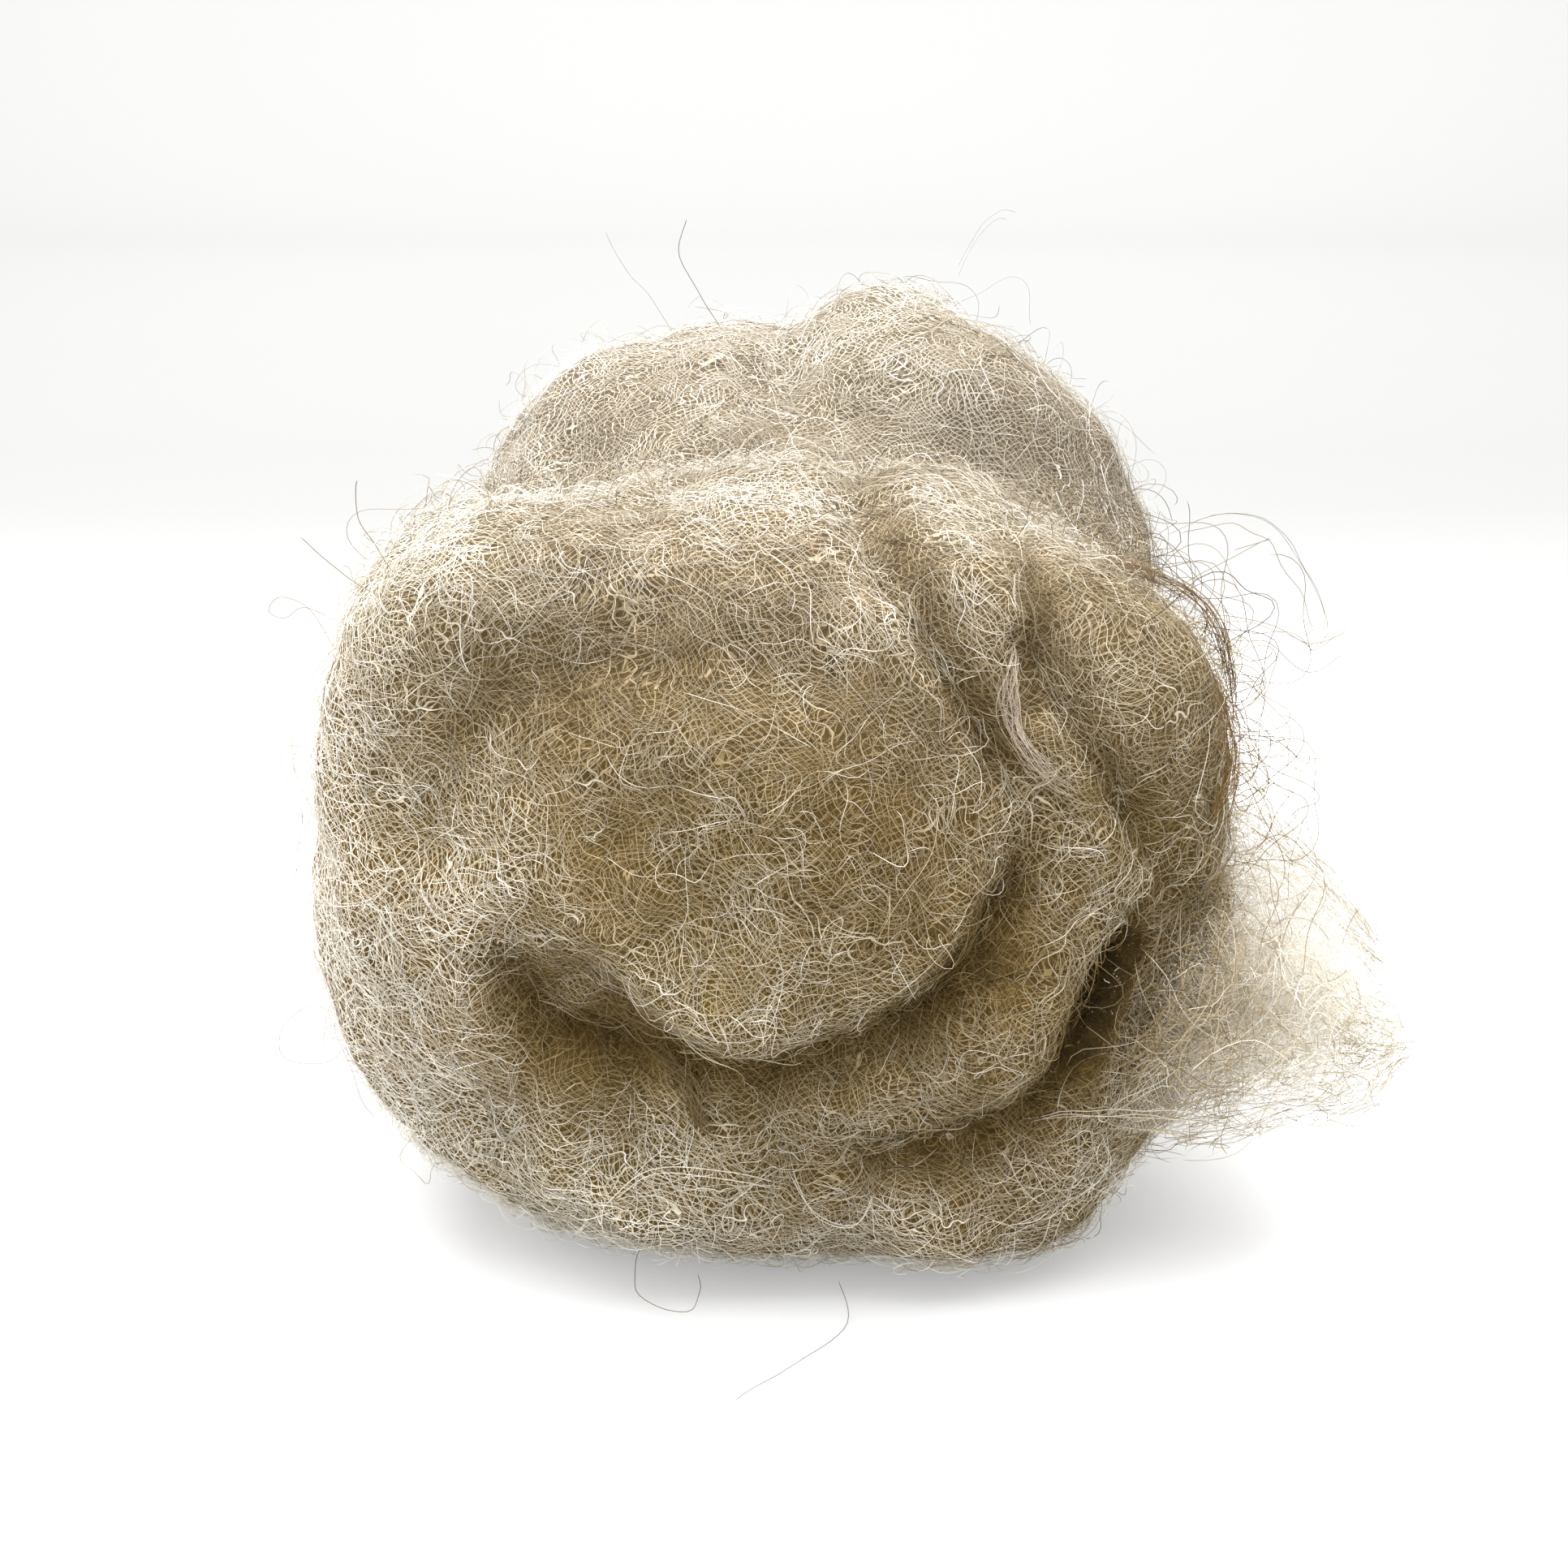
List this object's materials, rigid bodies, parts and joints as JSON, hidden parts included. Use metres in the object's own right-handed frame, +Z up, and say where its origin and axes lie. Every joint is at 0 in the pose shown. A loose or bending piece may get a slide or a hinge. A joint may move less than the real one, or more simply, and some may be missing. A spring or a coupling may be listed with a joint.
{
  "type": "fiber batt",
  "caption": "Carded wool batt rolled up and drawn in at its middle, lying on its side, with a wound face, creased turns and one loose frayed end.",
  "frame": {"origin": "middle of the footprint, on the surface that the roll lies on", "axes": "+Z up, +Y along the roll's axis away from the wound face, +X towards the loose end"},
  "size_m": [0.1324, 0.1636, 0.1013],
  "materials": {
    "fleece": "carded wool, matte, with crimped fibres lying across it",
    "fleece_pale": "thin carded wool, matte and slightly see-through"
  },
  "bodies": {
    "root": {"rolled_batt": "fleece", "loose_end": "fleece_pale"}
  },
  "joints": []
}
